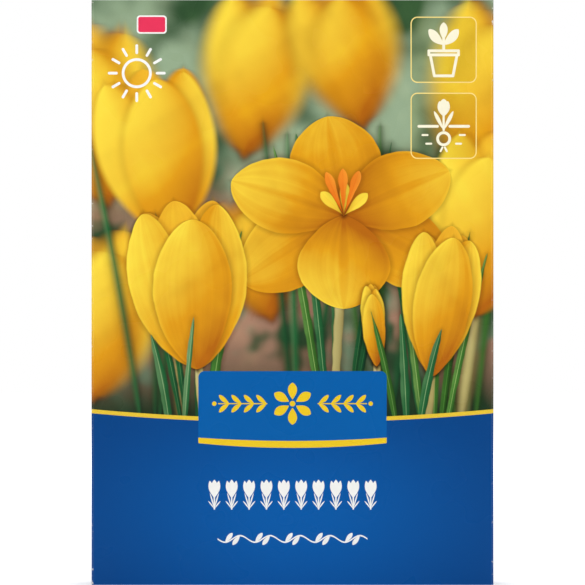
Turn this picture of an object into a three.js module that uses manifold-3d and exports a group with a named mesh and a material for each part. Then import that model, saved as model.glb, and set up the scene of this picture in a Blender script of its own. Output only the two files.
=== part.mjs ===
// A flower bulb packet: an upright folding carton of thin printed board, closed at each end by two dust flaps and a lid
// whose tuck flap sits behind the front panel. Ten crocus corms stand on edge inside it, in a settled pile.
//
// Millimetres, +Z up. The origin is the middle of the base. The front panel faces -Y, and +X is to its right.

import * as THREE from 'three';
import { mergeVertices } from 'three/addons/utils/BufferGeometryUtils.js';
import Module from 'manifold-3d';

// ---------------------------------------------------------------- driving dimensions

const WIDTH = 110;
const DEPTH = 24;
const HEIGHT = 160;

const BOARD = 0.5; // thickness of the board
const CREASE = 0.8; // outer radius of a fold
const GAP = 0.3; // between two layers, or two corms, that touch

const LID_INSET = 0.9; // the lid is this much narrower than the carton at each side
const TUCK_LENGTH = 15;
const TUCK_INSET = 3;
const TUCK_CORNER = 6;
const DUST_LENGTH = 20;
const DUST_TAPER = 3;
const GLUE_FLAP = 8;
const GLUE_FLAP_INSET = 8; // the glue flap starts this far from each end

const VENT_DIAMETER = 6;
const VENT_SIDES = 24;
const SIDE_VENT_HEIGHTS = [22, 40, 58];
const BACK_VENT_COLUMNS = 5;
const BACK_VENT_PITCH = 18;
const BACK_VENT_HEIGHTS = [17, 35];

const CORM_RADIUS = 13; // across the widest part of a corm, where it touches the next
const CORM_BASE = 9; // from there to the root scar
const CORM_SHOULDER = 7.5; // from there to the foot of the tuft
const CORM_TIP = 10; // from there to the end of the tuft of dry tunic
const CORM_VARIATION = 0.03;
const CORM_TILT = 0.12; // radians
const CORM_SIDES = 24;
const CORM_RIBS = 12;
const CORM_RIB_DEPTH = 0.01; // share of the radius
const PILE_SEED = 7;

// ---------------------------------------------------------------- levels worked out from them

const INNER_WIDTH = WIDTH - 2 * BOARD;
const SIDE_LOW = BOARD + GAP; // the side walls and dust flaps lie just inside the lids
const SIDE_HIGH = HEIGHT - SIDE_LOW;
const TUCK_FRONT = -DEPTH / 2 + BOARD + GAP; // front face of a tuck flap
const OVERCUT = 1; // how far a cutting block stands past what it cuts

// ---------------------------------------------------------------- solids

const wasm = await Module();
wasm.setup();

// A closed geometry as a solid that can be joined and cut.
function solid(geometry) {
  const bare = geometry.clone();
  bare.deleteAttribute('normal');
  bare.deleteAttribute('uv');
  const merged = mergeVertices(bare, 1e-4);
  return new wasm.Manifold(
    new wasm.Mesh({
      numProp: 3,
      vertProperties: new Float32Array(merged.attributes.position.array),
      triVerts: new Uint32Array(merged.index.array),
    }),
  );
}

// A solid as a geometry that three.js can draw.
function geometryOf(body) {
  const mesh = body.getMesh();
  const geometry = new THREE.BufferGeometry();
  geometry.setAttribute('position', new THREE.BufferAttribute(new Float32Array(mesh.vertProperties), 3));
  geometry.setIndex(new THREE.BufferAttribute(new Uint32Array(mesh.triVerts), 1));
  const faceted = geometry.toNonIndexed();
  faceted.computeVertexNormals();
  return faceted;
}

function block(x0, x1, y0, y1, z0, z1) {
  const geometry = new THREE.BoxGeometry(x1 - x0, y1 - y0, z1 - z0);
  geometry.translate((x0 + x1) / 2, (y0 + y1) / 2, (z0 + z1) / 2);
  return solid(geometry);
}

// Traces a rectangle with round corners, centred on the origin.
function roundRectangle(path, width, height, radius) {
  const x = width / 2 - radius;
  const y = height / 2 - radius;
  path.moveTo(x, -height / 2);
  path.absarc(x, -y, radius, -Math.PI / 2, 0);
  path.absarc(x, y, radius, 0, Math.PI / 2);
  path.absarc(-x, y, radius, Math.PI / 2, Math.PI);
  path.absarc(-x, -y, radius, Math.PI, 1.5 * Math.PI);
  return path;
}

// A strip of board folded into a closed rectangle and extruded along Z from 0 to length.
function foldedStrip(width, height, length) {
  const shape = roundRectangle(new THREE.Shape(), width, height, CREASE);
  shape.holes.push(
    roundRectangle(new THREE.Path(), width - 2 * BOARD, height - 2 * BOARD, CREASE - BOARD),
  );
  return new THREE.ExtrudeGeometry(shape, { depth: length, bevelEnabled: false, curveSegments: 5 });
}

// A flat panel of board, drawn in XY and lying with its lower face at z = 0.
function panel(shape) {
  return new THREE.ExtrudeGeometry(shape, { depth: BOARD, bevelEnabled: false, curveSegments: 6 });
}

// ---------------------------------------------------------------- carton

// The four walls. Above and below the side walls only the front panel goes on to the full height, as a cut edge.
function walls() {
  const tube = solid(foldedStrip(WIDTH, DEPTH, HEIGHT));
  const x = WIDTH / 2 + OVERCUT;
  const front = -DEPTH / 2 + CREASE;
  const back = DEPTH / 2 + OVERCUT;
  return tube
    .subtract(block(-x, x, front, back, SIDE_HIGH, HEIGHT + OVERCUT))
    .subtract(block(-x, x, front, back, -OVERCUT, SIDE_LOW));
}

// Base lid, back panel and top lid are one strip that is folded twice. It stops behind the front panel.
function lidStrip() {
  const length = WIDTH - 2 * LID_INSET;
  const geometry = foldedStrip(DEPTH, HEIGHT, length);
  geometry.rotateX(Math.PI / 2);
  geometry.rotateZ(Math.PI / 2);
  geometry.translate(-length / 2, 0, HEIGHT / 2);
  const x = WIDTH / 2;
  return solid(geometry).subtract(
    block(-x, x, -DEPTH / 2 - OVERCUT, TUCK_FRONT, -OVERCUT, HEIGHT + OVERCUT),
  );
}

// The flap at the front edge of a lid, pushed down behind the front panel. Its free corners are round.
function tuckFlap() {
  const x = WIDTH / 2 - TUCK_INSET;
  const shape = new THREE.Shape();
  shape.moveTo(x, HEIGHT);
  shape.lineTo(-x, HEIGHT);
  shape.lineTo(-x, HEIGHT - TUCK_LENGTH + TUCK_CORNER);
  shape.absarc(-x + TUCK_CORNER, HEIGHT - TUCK_LENGTH + TUCK_CORNER, TUCK_CORNER, Math.PI, 1.5 * Math.PI);
  shape.absarc(x - TUCK_CORNER, HEIGHT - TUCK_LENGTH + TUCK_CORNER, TUCK_CORNER, -Math.PI / 2, 0);
  const geometry = panel(shape);
  geometry.rotateX(Math.PI / 2);
  geometry.translate(0, TUCK_FRONT + BOARD, 0);
  return solid(geometry);
}

// The flap at the top of the right wall, folded in under the lid. It is cut back to clear the tuck flap.
function dustFlap() {
  const front = TUCK_FRONT + BOARD + GAP;
  const back = DEPTH / 2 - BOARD - GAP;
  const inner = WIDTH / 2 - DUST_LENGTH;
  const shape = new THREE.Shape();
  shape.moveTo(WIDTH / 2, front);
  shape.lineTo(WIDTH / 2, back);
  shape.lineTo(inner, back - DUST_TAPER);
  shape.lineTo(inner, front + DUST_TAPER);
  const geometry = panel(shape);
  geometry.translate(0, 0, SIDE_HIGH - BOARD);
  return solid(geometry);
}

// The flap at the free edge of the back panel, glued to the inner face of the left wall.
function glueFlap() {
  const left = -WIDTH / 2 + BOARD / 2;
  const back = DEPTH / 2 - BOARD / 2;
  return block(
    left, left + 1.5 * BOARD, back - GLUE_FLAP, back, GLUE_FLAP_INSET, HEIGHT - GLUE_FLAP_INSET,
  );
}

// A round punch along X or Y, long enough to cut the walls that it crosses.
function punch(x, y, z, axis, length) {
  const geometry = new THREE.CylinderGeometry(VENT_DIAMETER / 2, VENT_DIAMETER / 2, length, VENT_SIDES);
  if (axis === 'x') geometry.rotateZ(Math.PI / 2);
  geometry.translate(x, y, z);
  return solid(geometry);
}

function vents() {
  const sides = SIDE_VENT_HEIGHTS.map((z) => punch(0, 0, z, 'x', WIDTH + 2 * OVERCUT));
  const back = BACK_VENT_HEIGHTS.flatMap((z) =>
    Array.from({ length: BACK_VENT_COLUMNS }, (_, i) => {
      const x = (i - (BACK_VENT_COLUMNS - 1) / 2) * BACK_VENT_PITCH;
      return punch(x, DEPTH / 2, z, 'y', 2 * OVERCUT + BOARD);
    }),
  );
  return [...sides, ...back];
}

function carton() {
  const atTop = [tuckFlap(), dustFlap(), dustFlap().mirror([1, 0, 0])];
  const atBase = atTop.map((flap) => flap.mirror([0, 0, 1]).translate([0, 0, HEIGHT]));
  const board = [...atTop, ...atBase, lidStrip(), glueFlap()].reduce((all, part) => all.add(part), walls());
  return vents().reduce((all, hole) => all.subtract(hole), board);
}

// ---------------------------------------------------------------- corms

// Seeded numbers from 0 to 1, the same on every run.
function randomNumbers(seed) {
  let state = seed;
  return () => {
    state = (state * 1664525 + 1013904223) % 2 ** 32;
    return state / 2 ** 32;
  };
}

// A corm lies on the lid where the dust flaps don't reach, and on a dust flap elsewhere.
function floorUnder(x) {
  const onFlap = Math.abs(x) > WIDTH / 2 - DUST_LENGTH;
  return (onFlap ? SIDE_LOW + BOARD : BOARD) + GAP;
}

// The centre of a corm of radius r that rests on two others, a to the left and b to the right.
function restOn(a, b, r) {
  const [dx, dz] = [b.x - a.x, b.z - a.z];
  const apart = Math.hypot(dx, dz);
  const [toA, toB] = [a.r + r + GAP, b.r + r + GAP];
  const along = (toA ** 2 - toB ** 2 + apart ** 2) / (2 * apart);
  const up = Math.sqrt(toA ** 2 - along ** 2);
  return { x: a.x + (along * dx - up * dz) / apart, z: a.z + (along * dz + up * dx) / apart, r };
}

// The centre of a corm of radius r that rests on corm a and leans on the glue flap of the left wall.
function restOnWall(a, r) {
  const x = -INNER_WIDTH / 2 + BOARD + GAP + r;
  return { x, z: a.z + Math.sqrt((a.r + r + GAP) ** 2 - (a.x - x) ** 2), r };
}

// Four corms along the base, three in the hollows above them, and three more above those.
function pile(random) {
  const radii = Array.from({ length: 10 }, () => CORM_RADIUS * (1 + CORM_VARIATION * (random() - 0.5)));
  const base = radii.slice(0, 4);
  const spare = INNER_WIDTH - 2 * base.reduce((sum, r) => sum + r, 0);
  const placed = [];
  let edge = -INNER_WIDTH / 2;
  for (const r of base) {
    const x = edge + spare / (base.length + 1) + r;
    placed.push({ x, z: floorUnder(x) + r, r });
    edge = x + r;
  }
  for (const i of [0, 1, 2]) placed.push(restOn(placed[i], placed[i + 1], radii[4 + i]));
  for (const i of [4, 5]) placed.push(restOn(placed[i], placed[i + 1], radii[3 + i]));
  placed.push(restOnWall(placed[4], radii[9]));
  return placed;
}

// A flattened round corm about the Y axis, from the root scar at -Y to the dry tuft at +Y, with low ribs.
function cormGeometry(radius) {
  const at = (share, y) => new THREE.Vector2(radius * share, y);
  const scar = at(0.3, -CORM_BASE);
  const widest = at(1, 0);
  const foot = at(0.22, CORM_SHOULDER);
  const below = new THREE.CubicBezierCurve(scar, at(0.8, -CORM_BASE), at(1, -CORM_BASE / 2), widest);
  const above = new THREE.CubicBezierCurve(widest, at(1, CORM_SHOULDER / 2), at(0.6, CORM_SHOULDER), foot);
  const points = [
    at(0, 1 - CORM_BASE), ...below.getPoints(5), ...above.getPoints(5).slice(1), at(0, CORM_TIP),
  ];
  const geometry = new THREE.LatheGeometry(points, CORM_SIDES);
  const position = geometry.attributes.position;
  for (let i = 0; i < position.count; i += 1) {
    const [x, y, z] = [position.getX(i), position.getY(i), position.getZ(i)];
    const rib = 1 - (CORM_RIB_DEPTH / 2) * (1 - Math.cos(CORM_RIBS * Math.atan2(z, x)));
    position.setXYZ(i, x * rib, y, z * rib);
  }
  return geometry;
}

// ---------------------------------------------------------------- the packet

const printedBoard = new THREE.MeshStandardMaterial({ color: 0x0057a6, roughness: 0.4, metalness: 0 });
const dryTunic = new THREE.MeshStandardMaterial({ color: 0x8a5b34, roughness: 0.85, metalness: 0 });

const packet = new THREE.Group();

const cartonMesh = new THREE.Mesh(geometryOf(carton()), printedBoard);
cartonMesh.name = 'carton';
packet.add(cartonMesh);

const random = randomNumbers(PILE_SEED);
pile(random).forEach(({ x, z, r }, i) => {
  const corm = new THREE.Mesh(cormGeometry(r), dryTunic);
  corm.name = `corm_${String(i + 1).padStart(2, '0')}`;
  const facing = random() < 0.5 ? 0 : Math.PI; // the tuft points to the back or to the front
  const [tipped, turned] = [random() - 0.5, random() - 0.5].map((share) => 2 * CORM_TILT * share);
  corm.position.set(x, 0, z);
  corm.rotation.set(tipped, 0, facing + turned);
  packet.add(corm);
});

export default packet;
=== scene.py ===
# %% [markdown]
# # A packet of crocus corms
#
# The object is a slim folding carton, printed all over, that stands upright on a shelf. Its board is half a
# millimetre thick. It is die-cut from one sheet, creased, folded and tucked, and ten corms lie loose inside
# it.
#
# The construction comes from the frame, so the sizes below start from the frame's boxes. Lengths are in
# metres, as Blender counts them. The print is drawn in millimetres, as a printer would, and MM turns one
# into the other.

# %% The frame and the sizes that come from it
import random
from math import atan2, ceil, cos, degrees, hypot, pi, radians, sin

import bmesh
import bpy
from mathutils import Matrix, Vector
from mathutils.geometry import interpolate_bezier


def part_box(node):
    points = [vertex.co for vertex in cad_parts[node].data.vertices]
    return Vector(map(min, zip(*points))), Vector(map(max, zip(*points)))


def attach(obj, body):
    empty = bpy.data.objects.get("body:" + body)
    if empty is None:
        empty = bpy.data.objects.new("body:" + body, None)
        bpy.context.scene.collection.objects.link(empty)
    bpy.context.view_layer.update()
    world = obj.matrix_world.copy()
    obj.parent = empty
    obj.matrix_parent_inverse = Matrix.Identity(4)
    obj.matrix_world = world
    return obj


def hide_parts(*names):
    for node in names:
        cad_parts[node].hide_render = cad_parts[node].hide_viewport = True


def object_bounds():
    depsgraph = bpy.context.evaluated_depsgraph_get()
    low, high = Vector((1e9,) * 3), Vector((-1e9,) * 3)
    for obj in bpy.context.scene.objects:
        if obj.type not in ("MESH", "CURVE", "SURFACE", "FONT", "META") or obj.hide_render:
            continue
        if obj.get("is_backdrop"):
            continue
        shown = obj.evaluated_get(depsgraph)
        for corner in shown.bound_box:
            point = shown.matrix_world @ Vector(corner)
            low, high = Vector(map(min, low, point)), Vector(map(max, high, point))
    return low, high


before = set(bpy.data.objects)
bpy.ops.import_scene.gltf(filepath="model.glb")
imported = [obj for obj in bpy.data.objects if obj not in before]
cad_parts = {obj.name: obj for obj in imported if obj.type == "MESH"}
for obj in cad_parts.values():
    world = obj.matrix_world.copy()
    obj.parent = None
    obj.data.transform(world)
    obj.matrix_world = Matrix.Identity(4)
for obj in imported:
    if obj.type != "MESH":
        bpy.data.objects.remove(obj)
cad_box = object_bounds()

MM = 0.001
low, high = (Vector(corner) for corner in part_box("carton"))
WIDTH, DEPTH, HEIGHT = high - low
MIDDLE = HEIGHT / 2
print(f"carton {WIDTH / MM:.1f} x {DEPTH / MM:.1f} x {HEIGHT / MM:.1f} mm")


def as_mesh(bm, name):
    mesh = bpy.data.meshes.new(name)
    bm.to_mesh(mesh)
    bm.free()
    return mesh


def place_object(data, name):
    placed = bpy.data.objects.new(name, data)
    bpy.context.scene.collection.objects.link(placed)
    return placed

# %% [markdown]
# ## Camera
#
# The packet is seen square on, with almost no perspective, and it fills the picture from top to bottom. A
# long lens far away gives that. The picture is square, so the sensor's width is its height too, and the
# lens follows from the distance: the front panel's height has to fill the sensor.

# %% Camera
CAMERA_DISTANCE = 1.6  # from the front panel

camera_data = bpy.data.cameras.new("front_view")
camera_data.sensor_fit = "HORIZONTAL"
camera_data.lens = camera_data.sensor_width * CAMERA_DISTANCE / HEIGHT
camera_data.clip_start = 0.01
camera = place_object(camera_data, "front_view")
camera.location = (0, -DEPTH / 2 - CAMERA_DISTANCE, MIDDLE)
camera.rotation_euler = (pi / 2, 0, 0)
bpy.context.scene.camera = camera
print(f"lens {camera_data.lens:.0f} mm")

# %% [markdown]
# ## Building materials with small helpers
#
# A node tree is easier to read as code if each node is one call. New nodes go into the tree on the bench,
# the one that was begun last. What comes out of a node is a Wire. Wires can be added and multiplied like
# numbers, and each such step is a Math node. `blend` mixes two colours, and `span` turns one range into
# another.

# %% Wires and nodes
class Bench:
    tree = None


class Wire:
    """What comes out of a node."""

    def __init__(self, socket):
        self.socket = socket

    def __neg__(self):
        return self * -1

    def __rsub__(self, other):
        return calc("SUBTRACT", other, self)


def feed(socket, value):
    if isinstance(value, Wire):
        Bench.tree.links.new(value.socket, socket)
    elif isinstance(value, (int, float)):
        socket.default_value = value
    else:
        socket.default_value = [*value, 1][: len(socket.default_value)]


def node(kind, output, values=(), **settings):
    """Adds a node and gives its output, or all its outputs by name if output is None."""
    made = Bench.tree.nodes.new(kind)
    for name, setting in settings.items():
        setattr(made, name, setting)
    for name, value in dict(values).items():
        feed(made.inputs[name], value)
    if output is None:
        return {socket.name: Wire(socket) for socket in made.outputs}
    return Wire(made.outputs[output])


def calc(operation, *values):
    return node("ShaderNodeMath", 0, enumerate(values), operation=operation)


OPERATORS = {  # Python's words for them, and the Math node's
    "add": "ADD", "sub": "SUBTRACT", "mul": "MULTIPLY",
    "truediv": "DIVIDE", "pow": "POWER", "abs": "ABSOLUTE",
}
for word, operation in OPERATORS.items():
    setattr(Wire, f"__{word}__", lambda *values, operation=operation: calc(operation, *values))


def times_plus(value, factor, more):
    return calc("MULTIPLY_ADD", value, factor, more)


def length(x, y):
    return calc("SQRT", times_plus(x, x, y * y))


def split(vector):
    return node("ShaderNodeSeparateXYZ", None, {0: vector}).values()


def blend(factor, below, above, how="MIX"):
    return node("ShaderNodeMix", 2, {0: factor, 6: below, 7: above}, data_type="RGBA", blend_type=how)


def span(value, start, end, to_start=0.0, to_end=1.0, ease="SMOOTHSTEP"):
    values = {0: value, 1: start, 2: end, 3: to_start, 4: to_end}
    return node("ShaderNodeMapRange", 0, values, interpolation_type=ease, clamp=False)


def noise(place, scale, detail=2.0, roughness=0.5):
    """Smooth random values from 0 to 1, over a place, or along a line if it is given a number."""
    name, kind = ("W", "1D") if place.socket.type == "VALUE" else ("Vector", "3D")
    values = {name: place, "Scale": scale, "Detail": detail, "Roughness": roughness}
    return node("ShaderNodeTexNoise", "Fac", values, noise_dimensions=kind)


def object_place():
    return node("ShaderNodeTexCoord", "Object")


def bump(height, strength, distance):
    values = {"Height": height, "Strength": strength, "Distance": distance * MM}
    return node("ShaderNodeBump", 0, values)


def ink(*shown):
    """A colour as it looks on a screen, from 0 to 255, as the share of light that it sends back."""
    return tuple(((c / 255 + 0.055) / 1.055) ** 2.4 if c > 10 else c / 3295 for c in shown)


print(f"middle grey sends back {ink(128)[0]:.2f} of the light")

# %% [markdown]
# A shader node group is built once and placed wherever its effect is needed. `new_group` makes its sockets,
# a sum of nodes follows, `close_group` joins the results to its outputs, and `use` places it. A material is
# begun by `new_material`, and `shade` feeds the inputs of its shader, whose names have an underscore for
# each space.

# %% Groups and materials
PLACE = (0.0, 0.0)  # stands for a vector socket


def new_group(name, inputs, *outputs):
    group = Bench.tree = bpy.data.node_groups.new(name, "ShaderNodeTree")
    for label, value in inputs.items():
        kind = "Float" if isinstance(value, float) else "Vector" if len(value) == 2 else "Color"
        socket = group.interface.new_socket(label, in_out="INPUT", socket_type="NodeSocket" + kind)
        if kind != "Vector":
            feed(socket, value)
    for label in outputs:
        kind = "Color" if label == "Color" else "Float"
        group.interface.new_socket(label, in_out="OUTPUT", socket_type="NodeSocket" + kind)
    given = node("NodeGroupInput", None)
    group.nodes.new("NodeGroupOutput")
    return given


def close_group(**results):
    for label, value in results.items():
        feed(Bench.tree.nodes["Group Output"].inputs[label], value)
    print(f"group {Bench.tree.name} of {len(Bench.tree.nodes)} nodes")
    return Bench.tree


def use(group, **values):
    return node("ShaderNodeGroup", None, values, node_tree=group)


def new_material(name):
    material = bpy.data.materials.new(name)
    material.use_nodes = True
    Bench.tree = material.node_tree
    return material


def shade(**values):
    for name, value in values.items():
        feed(Bench.tree.nodes["Principled BSDF"].inputs[name.replace("_", " ")], value)

# %% [markdown]
# ## The stage
#
# The ground of the picture is pure white. The floor is a pale sheet that glows a little more the further
# away it is, like a lit studio cove, so it meets the white background without a line and still takes a soft
# shadow under the packet. The camera sees the cove and the world in full, but their light on the packet is
# held back, as black flags would hold it back in a studio. Two wide soft lamps stand about 50 degrees to
# the left and the right, and a third lights the back. None of their shine goes from the flat front into the
# camera, so the print keeps its depth.

# %% Floor, world and lamps
FLOOR_SIZE = 6.0
FLOOR_TONE = 0.88
GLOW_START, GLOW_END = 0.3, 1.3
NEAR_GLOW = 0.42
FLOOR_LIGHT, WORLD_LIGHT = 0.2, 0.12  # what the packet gets
LAMPS = (  # name, power, size, degrees round and up, distance
    ("left", 8.9, 0.7, -52, 10, 1.3),
    ("right", 8.7, 0.7, 52, 10, 1.3),
    ("behind", 14.0, 0.9, 180, 50, 1.4),
)


def seen_or_given(seen, given):
    """The first strength where the camera looks, and the second one for the light on the packet."""
    return span(node("ShaderNodeLightPath", "Is Camera Ray"), 0, 1, given, seen, "LINEAR")


def stage_floor():
    bm = bmesh.new()
    bmesh.ops.create_grid(bm, x_segments=1, y_segments=1, size=FLOOR_SIZE / 2)
    floor = place_object(as_mesh(bm, "floor"), "floor")
    floor.data.materials.append(new_material("floor_white"))
    away = node("ShaderNodeVectorMath", "Value", {0: object_place()}, operation="LENGTH")
    glow = seen_or_given(span(away, GLOW_START, GLOW_END, NEAR_GLOW, 1.0), FLOOR_LIGHT)
    shade(Emission_Strength=glow, Base_Color=[FLOOR_TONE] * 3, Emission_Color=(1, 1, 1), Roughness=0.8)
    floor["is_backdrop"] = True


def stage_world():
    world = bpy.context.scene.world = bpy.data.worlds.new("studio")
    world.use_nodes = True
    Bench.tree = world.node_tree
    Bench.tree.nodes.clear()
    sky = node("ShaderNodeBackground", 0, {"Color": (1, 1, 1), "Strength": seen_or_given(1.0, WORLD_LIGHT)})
    node("ShaderNodeOutputWorld", None, {"Surface": sky})


def lamp(name, power, size, turn, rise, distance):
    data = bpy.data.lights.new(name, "AREA")
    data.energy = power
    data.size = size
    lamp_object = place_object(data, name)
    turn, rise = radians(turn), radians(rise)
    direction = Vector((sin(turn) * cos(rise), -cos(turn) * cos(rise), sin(rise)))
    lamp_object.location = Vector((0, 0, MIDDLE)) + direction * distance
    lamp_object.rotation_euler = direction.to_track_quat("Z", "Y").to_euler()


stage_floor()
stage_world()
for row in LAMPS:
    lamp(*row)
bpy.context.scene.view_settings.view_transform = "Standard"
print("stage set")

# %% [markdown]
# ## The carton: ruling the sheet
#
# A folding carton starts as one flat sheet. The die-maker rules where it is creased and where it is cut,
# and everything else follows. The same order works here: the flat blank is one grid, `bisect_plane` rules
# it, and the waste is taken away. The folds come later.
#
# Across the sheet lie the left side, the front, the right side, the back and the glue flap. The back
# carries a lid with a tuck flap at each end, and each side carries two dust flaps. A crease is a narrow
# band of a few strips, which is as wide as the round fold that it becomes.

# %% Creases and panels, across the sheet and up it
BOARD = 0.5 * MM
CREASE = 0.8 * MM  # outer radius of a fold
SLIP = BOARD + 0.3 * MM  # from the outside of one layer to the outside of the layer behind it
SEAM = 0.05 * MM  # between the glued layers
BOW = 0.3 * MM  # how far the front and the back swell in the middle
CREASE_STRIPS = 6
STRIP = 2 * CREASE * sin(pi / 4 / CREASE_STRIPS)
FOLD = CREASE_STRIPS * STRIP

FRONT_HALF = WIDTH / 2 - CREASE
SIDE = DEPTH - 2 * BOW - 2 * CREASE
RIGHT = FRONT_HALF + FOLD
RIGHT_END = RIGHT + SIDE
BACK = RIGHT_END + FOLD
BACK_END = BACK + WIDTH - 2 * CREASE - BOARD - SEAM
GLUE = BACK_END + FOLD
GLUE_END = GLUE + 7.2 * MM
LEFT_END = -RIGHT - SIDE - CREASE + 2 * SEAM

SIDE_RISE = MIDDLE - SLIP - CREASE  # each rise is a height above or below mid-height
DUST_RISE = SIDE_RISE + FOLD + 19.2 * MM
LID_RISE = MIDDLE - CREASE
TUCK_RISE = LID_RISE + FOLD + SIDE - SLIP
TUCK_END = TUCK_RISE + FOLD + 14.2 * MM
GLUE_RISE = MIDDLE - 8 * MM
LID_HALF = WIDTH / 2 - 1.4 * MM
TUCK_HALF = WIDTH / 2 - 3 * MM
DUST_FRONT = SLIP + SLIP + BOARD - CREASE + BOARD  # from the side's front crease to the dust flap
DUST_BACK = SIDE - SLIP + CREASE
print(f"sheet {(GLUE_END - LEFT_END) / MM:.0f} x {2 * TUCK_END / MM:.0f} mm")


def back_at(x):
    """Where a point of the back, x to the right of the middle, lies across the flat sheet."""
    return BACK + WIDTH / 2 - CREASE - x

# %% [markdown]
# The die is a list of rectangles. Each has its name, its extent across the sheet and its range of rise. All
# are mirrored about mid-height, so the top and the bottom of the carton are alike. A face of the ruled grid
# is board if its middle lies in one of them.

# %% The die
DIE = (
    ("side", LEFT_END, -RIGHT, 0, SIDE_RISE),
    ("front", -RIGHT, RIGHT, 0, MIDDLE),
    ("side", RIGHT, RIGHT_END, 0, SIDE_RISE),
    ("back", RIGHT_END, BACK_END, 0, LID_RISE),
    ("flap", BACK_END, GLUE_END, 0, GLUE_RISE),
    ("flap", -RIGHT - DUST_BACK, -RIGHT - DUST_FRONT, SIDE_RISE, DUST_RISE),
    ("flap", RIGHT + DUST_FRONT, RIGHT + DUST_BACK, SIDE_RISE, DUST_RISE),
    ("lid", back_at(LID_HALF), back_at(-LID_HALF), LID_RISE, TUCK_RISE),
    ("flap", back_at(TUCK_HALF), back_at(-TUCK_HALF), TUCK_RISE, TUCK_END),
)
DIE_NAMES = ("front", "side", "back", "lid", "flap")
VENT = 3.0 * MM
VENT_SQUARE = 4.2 * MM
SIDE_MIDDLE = RIGHT + SIDE / 2
VENTS = [(side * SIDE_MIDDLE, z * MM) for side in (-1, 1) for z in (22, 40, 58)]
VENTS += [(back_at(x * MM), z * MM) for x in (-36, -18, 0, 18, 36) for z in (17, 35)]
PITCH = 5 * MM
SAME_LINE = 0.02 * MM


def spread(start, end):
    count = max(1, ceil((end - start) / PITCH))
    return [start + (end - start) * i / count for i in range(count + 1)]


def crease_lines(*starts):
    return [start + STRIP * i for start in starts for i in range(CREASE_STRIPS + 1)]


def without_doubles(lines):
    kept = []
    for line in sorted(lines):
        if not kept or line - kept[-1] > SAME_LINE:
            kept.append(line)
    return kept


across_lines = [line for name, start, end, _, _ in DIE for line in (start, end)]
across_lines += crease_lines(-RIGHT, FRONT_HALF, RIGHT_END, BACK_END)
across_lines += spread(LEFT_END, -RIGHT) + spread(-FRONT_HALF, FRONT_HALF) + spread(RIGHT, RIGHT_END)
across_lines += spread(BACK, BACK_END) + spread(GLUE, GLUE_END)
across_lines += [across + side * VENT_SQUARE for across, up in VENTS for side in (-1, 1)]
rises = [rise for _, _, _, start, end in DIE for rise in (start, end)]
rises += crease_lines(SIDE_RISE, LID_RISE, TUCK_RISE)
rises += spread(0, SIDE_RISE) + spread(SIDE_RISE + FOLD, DUST_RISE) + spread(TUCK_RISE + FOLD, TUCK_END)
up_lines = [MIDDLE + side * rise for rise in rises for side in (-1, 1)]
up_lines += [up + side * VENT_SQUARE for across, up in VENTS for side in (-1, 1)]
across_lines = without_doubles(across_lines)
up_lines = without_doubles(up_lines)
print(f"{len(across_lines)} lines across, {len(up_lines)} lines up")

# %% [markdown]
# The sheet starts as a single face. It stands upright in the plane of the front, with its printed face
# towards the viewer, so that the front panel is in its final place from the start and only the rest has to
# be folded.

# %% Rule and cut the sheet
FRONT_PLANE = -DEPTH / 2 + BOW
UPRIGHT = Matrix.Rotation(pi / 2, 4, "X")


def panel_of(face):
    middle = face.calc_center_median()
    rise = abs(middle.z - MIDDLE)
    for name, start, end, lowest, highest in DIE:
        if start < middle.x < end and lowest < rise < highest:
            return name
    return None


def rule(bm, lines, axis):
    for at in lines[1:-1]:
        everything = bm.verts[:] + bm.edges[:] + bm.faces[:]
        bmesh.ops.bisect_plane(bm, geom=everything, plane_co=axis * at, plane_no=axis)


def ruled_sheet():
    bm = bmesh.new()
    extent = Matrix.Diagonal((GLUE_END - LEFT_END, 1, 2 * TUCK_END, 1))
    middle = Matrix.Translation(((GLUE_END + LEFT_END) / 2, FRONT_PLANE, MIDDLE))
    bmesh.ops.create_grid(bm, x_segments=1, y_segments=1, size=0.5, matrix=middle @ extent @ UPRIGHT)
    rule(bm, across_lines, Vector((1, 0, 0)))
    rule(bm, up_lines, Vector((0, 0, 1)))
    waste = [face for face in bm.faces if panel_of(face) is None]
    bmesh.ops.delete(bm, geom=waste, context="FACES")
    for face in bm.faces:
        face.material_index = DIE_NAMES.index(panel_of(face))
    return bm


sheet = ruled_sheet()
print(f"blank of {len(sheet.faces)} faces")

# %% [markdown]
# The flaps aren't plain rectangles. Each dust flap tapers so that it slides in, and the free corners of a
# tuck flap are round. A straight cut is one `bisect_plane` that throws away what lies outside it, and a
# round corner is a few such cuts along an arc. Only the flap's own faces are handed to the cut, so the rest
# of the sheet stays whole.

# %% Trim the flaps
DUST_TAPER = 3 * MM
TUCK_CORNER = 6 * MM
CORNER_CUTS = 6


def shear(bm, inside, point, outward):
    faces = [face for face in bm.faces if inside(face.calc_center_median())]
    edges = dict.fromkeys(edge for face in faces for edge in face.edges)
    verts = dict.fromkeys(vert for face in faces for vert in face.verts)
    flap = [*verts, *edges, *faces]
    bmesh.ops.bisect_plane(bm, geom=flap, plane_co=point, plane_no=outward, clear_outer=True)


def trim_dust_flap(bm, side, end):
    start = MIDDLE + end * (SIDE_RISE + FOLD)
    drop = DUST_RISE - SIDE_RISE - FOLD
    for edge, outward in ((DUST_FRONT, -1), (DUST_BACK, 1)):
        point = (side * (RIGHT + edge), 0, start)
        normal = (side * outward * drop, 0, end * DUST_TAPER)
        shear(bm, lambda at: at.x * side > RIGHT and at.x < BACK and (at.z - start) * end > 0, point, normal)


def round_tuck_corner(bm, side, end):
    middle = Vector((back_at(-side * (TUCK_HALF - TUCK_CORNER)), 0, MIDDLE + end * (TUCK_END - TUCK_CORNER)))
    for cut in range(CORNER_CUTS):
        angle = pi / 2 * (cut + 0.5) / CORNER_CUTS
        outward = Vector((side * cos(angle), 0, end * sin(angle)))
        point = middle + outward * TUCK_CORNER
        shear(bm, lambda at: (at.x - middle.x) * side > 0 and (at.z - middle.z) * end > 0, point, outward)


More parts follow.
